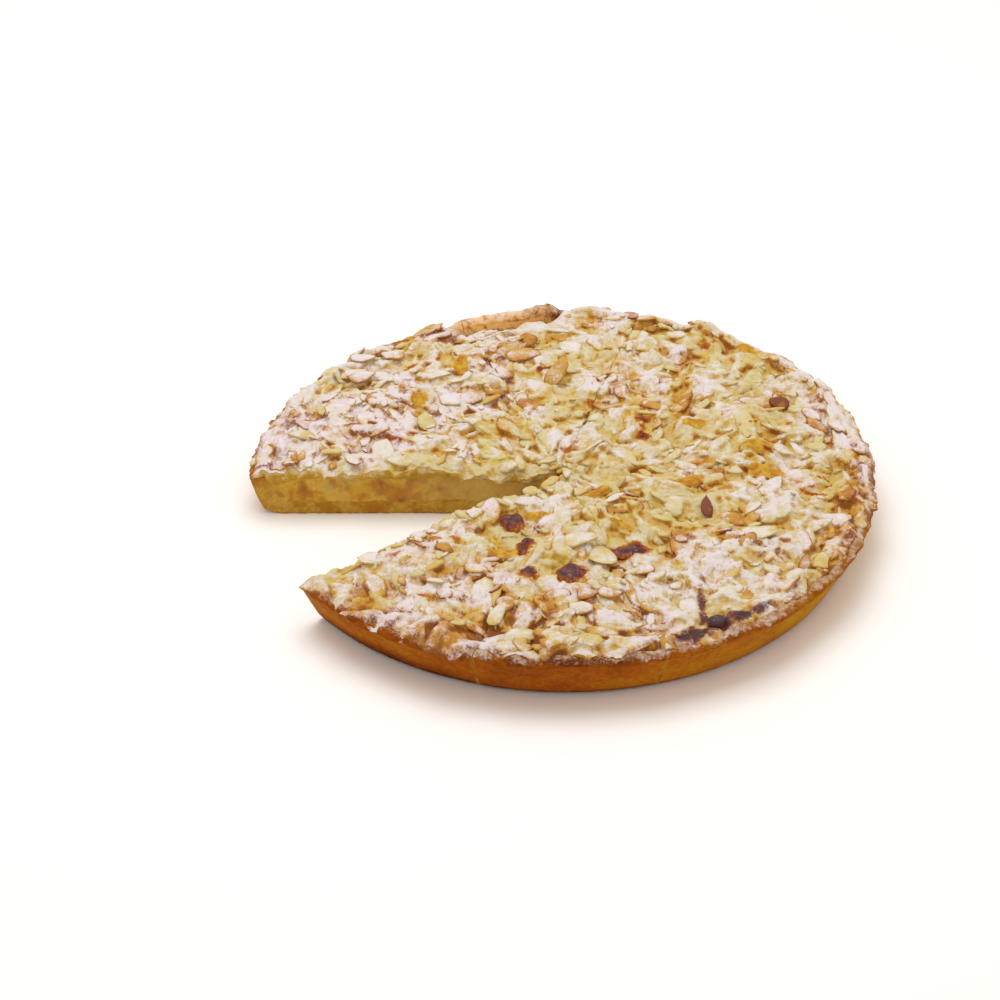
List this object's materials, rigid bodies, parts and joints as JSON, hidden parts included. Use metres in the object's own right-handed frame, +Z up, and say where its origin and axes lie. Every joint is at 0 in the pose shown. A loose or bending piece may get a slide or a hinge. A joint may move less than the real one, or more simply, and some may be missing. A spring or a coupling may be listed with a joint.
{
  "type": "apple tart",
  "caption": "Round apple tart in a pastry shell with a flaked almond topping, cut into slices, one slice taken out.",
  "frame": {"origin": "middle of the tart's flat underside", "axes": "+Z up, +Y to the far side of the tart, so that the missing slice lies towards -X"},
  "size_m": [0.2808, 0.2804, 0.0328],
  "materials": {
    "crust": "baked shortcrust pastry, golden brown outside, pale crumb where cut",
    "filling": "cooked apple in custard, moist, slightly translucent",
    "topping": "pale baked batter under flaked almonds, dusted with icing sugar"
  },
  "bodies": {
    "root": {"crust_1": "crust", "filling_1": "filling", "topping_1": "topping", "crust_2": "crust", "filling_2": "filling", "topping_2": "topping", "crust_3": "crust", "filling_3": "filling", "topping_3": "topping", "crust_4": "crust", "filling_4": "filling", "topping_4": "topping", "crust_5": "crust", "filling_5": "filling", "topping_5": "topping", "crust_6": "crust", "filling_6": "filling", "topping_6": "topping", "crust_7": "crust", "filling_7": "filling", "topping_7": "topping", "crust_8": "crust", "filling_8": "filling", "topping_8": "topping", "crust_9": "crust", "filling_9": "filling", "topping_9": "topping"}
  },
  "joints": []
}
